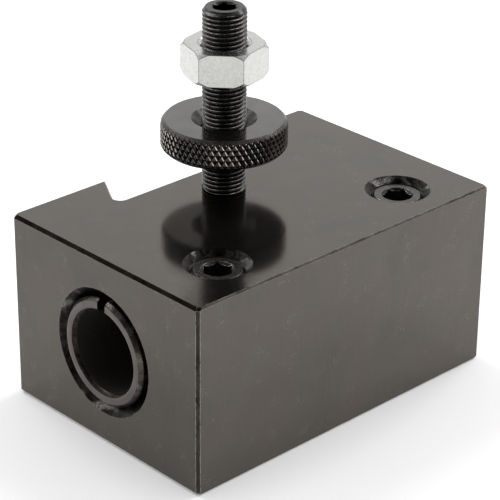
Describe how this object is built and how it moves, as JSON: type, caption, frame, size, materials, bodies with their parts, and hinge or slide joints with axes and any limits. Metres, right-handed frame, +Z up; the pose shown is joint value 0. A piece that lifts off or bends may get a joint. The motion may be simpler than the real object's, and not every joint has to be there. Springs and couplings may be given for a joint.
{
  "type": "boring bar tool holder",
  "caption": "Rectangular dovetail tool holder with a lengthwise bore and split sleeve, socket clamp screws, and a height stud carrying a knurled nut and a hexagon lock nut.",
  "frame": {"origin": "middle of the block's underside", "axes": "+X along the bore, +Y towards the dovetail side that faces the tool post, +Z up"},
  "size_m": [0.0896, 0.0604, 0.0872],
  "materials": {
    "block": "ground steel, black oxide, semi-mirror",
    "sleeve": "turned steel, black oxide",
    "stud": "rolled thread, black oxide",
    "knurled_nut": "diamond knurl, black oxide, turned faces",
    "jam_nut": "bright zinc plate",
    "screw": "black oxide",
    "plug": "turned steel"
  },
  "bodies": {
    "holder": {"holder_body": "block", "height_stud": "stud"},
    "sleeve": {"split_sleeve": "sleeve"},
    "height_nut": {"knurled_nut": "knurled_nut"},
    "lock_nut": {"jam_nut": "jam_nut"},
    "left_screw": {"left_clamp_screw": "screw"},
    "right_screw": {"right_clamp_screw": "screw"},
    "left_plug": {"left_clamp_plug": "plug"},
    "right_plug": {"right_clamp_plug": "plug"}
  },
  "joints": [
    {"name": "height_nut_travel", "type": "slide", "parent": "holder", "child": "height_nut", "axis": [0, 0, 1], "range_m": [-0.0095, 0.005]},
    {"name": "lock_nut_travel", "type": "slide", "parent": "height_nut", "child": "lock_nut", "axis": [0, 0, 1], "range_m": [-0.0102, 0.003]},
    {"name": "left_screw_travel", "type": "slide", "parent": "holder", "child": "left_screw", "axis": [0, 0, 1], "range_m": [0, 0.006]},
    {"name": "right_screw_travel", "type": "slide", "parent": "holder", "child": "right_screw", "axis": [0, 0, 1], "range_m": [0, 0.006]},
    {"name": "left_plug_travel", "type": "slide", "parent": "holder", "child": "left_plug", "axis": [0, 0, 1], "range_m": [0, 0.006]},
    {"name": "right_plug_travel", "type": "slide", "parent": "holder", "child": "right_plug", "axis": [0, 0, 1], "range_m": [0, 0.006]},
    {"name": "sleeve_slide", "type": "slide", "parent": "holder", "child": "sleeve", "axis": [-1, 0, 0], "range_m": [0, 0.06]}
  ],
  "couplings": [
    {"joint": "left_plug_travel", "follows": "left_screw_travel", "ratio": 1},
    {"joint": "right_plug_travel", "follows": "right_screw_travel", "ratio": 1}
  ]
}
